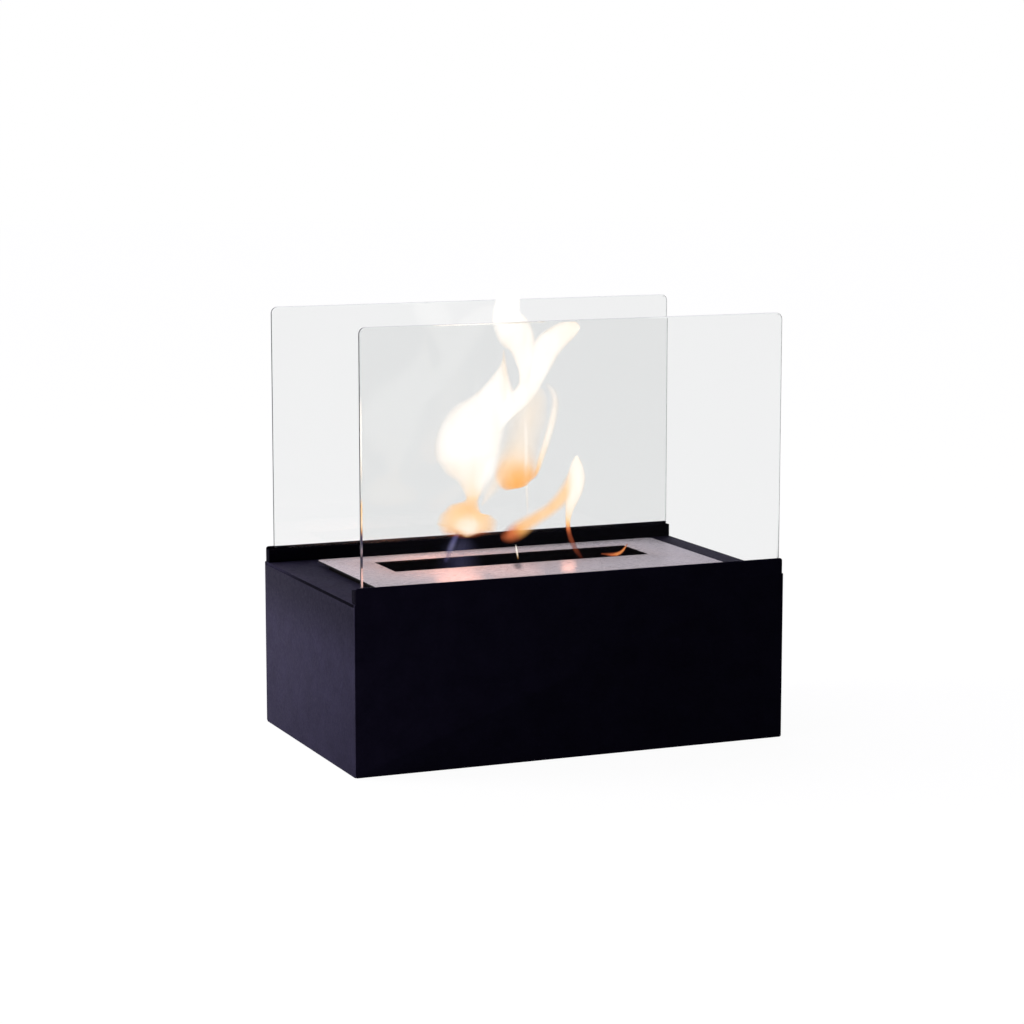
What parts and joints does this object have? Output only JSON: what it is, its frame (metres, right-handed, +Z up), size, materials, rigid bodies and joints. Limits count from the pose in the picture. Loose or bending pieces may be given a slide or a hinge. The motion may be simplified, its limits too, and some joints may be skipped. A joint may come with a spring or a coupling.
{
  "type": "bioethanol fireplace",
  "caption": "Tabletop bioethanol fireplace: a black steel box housing with a drop-in slotted stainless burner and loose glass panes standing in channels at front and rear.",
  "frame": {"origin": "on the table, under the centre of the housing, at the soles of the feet", "axes": "+X to the fireplace's right along its long front, +Y from front to rear, +Z up"},
  "size_m": [0.35, 0.208, 0.33],
  "materials": {
    "powder_coat": "fine black powder coat, satin",
    "stainless": "satin stainless steel, brushed along its length",
    "zinc_steel": "zinc plated",
    "clear_glass": "clear toughened glass with ground edges",
    "black_rubber": "matt black rubber",
    "silicone": "dark silicone strip",
    "ceramic_wool": "white ceramic fibre wool",
    "flame": "glowing gas flame, not a solid"
  },
  "bodies": {
    "housing": {"top_sheet": "powder_coat", "left_side_wall": "powder_coat", "right_side_wall": "powder_coat", "front_panel": "powder_coat", "rear_panel": "powder_coat", "front_glass_channel": "powder_coat", "rear_glass_channel": "powder_coat", "front_glass_pad_left": "silicone", "front_glass_pad_right": "silicone", "rear_glass_pad_left": "silicone", "rear_glass_pad_right": "silicone", "base_plate": "powder_coat", "front_base_angle": "powder_coat", "rear_base_angle": "powder_coat", "base_screw_front_left": "zinc_steel", "base_screw_front_middle": "zinc_steel", "base_screw_front_right": "zinc_steel", "base_screw_rear_left": "zinc_steel", "base_screw_rear_middle": "zinc_steel", "base_screw_rear_right": "zinc_steel", "foot_front_left": "black_rubber", "foot_front_right": "black_rubber", "foot_rear_left": "black_rubber", "foot_rear_right": "black_rubber"},
    "front_pane": {"front_glass": "clear_glass"},
    "rear_pane": {"rear_glass": "clear_glass"},
    "burner": {"burner_plate": "stainless", "burner_tank": "stainless", "burner_flange": "stainless", "burner_wool": "ceramic_wool"}
  },
  "joints": [
    {"name": "front_glass_lift", "type": "slide", "parent": "housing", "child": "front_pane", "axis": [0, 0, 1], "range_m": [0, 0.015]},
    {"name": "rear_glass_lift", "type": "slide", "parent": "housing", "child": "rear_pane", "axis": [0, 0, 1], "range_m": [0, 0.015]},
    {"name": "burner_lift", "type": "slide", "parent": "housing", "child": "burner", "axis": [0, 0, 1], "range_m": [0, 0.06]}
  ]
}
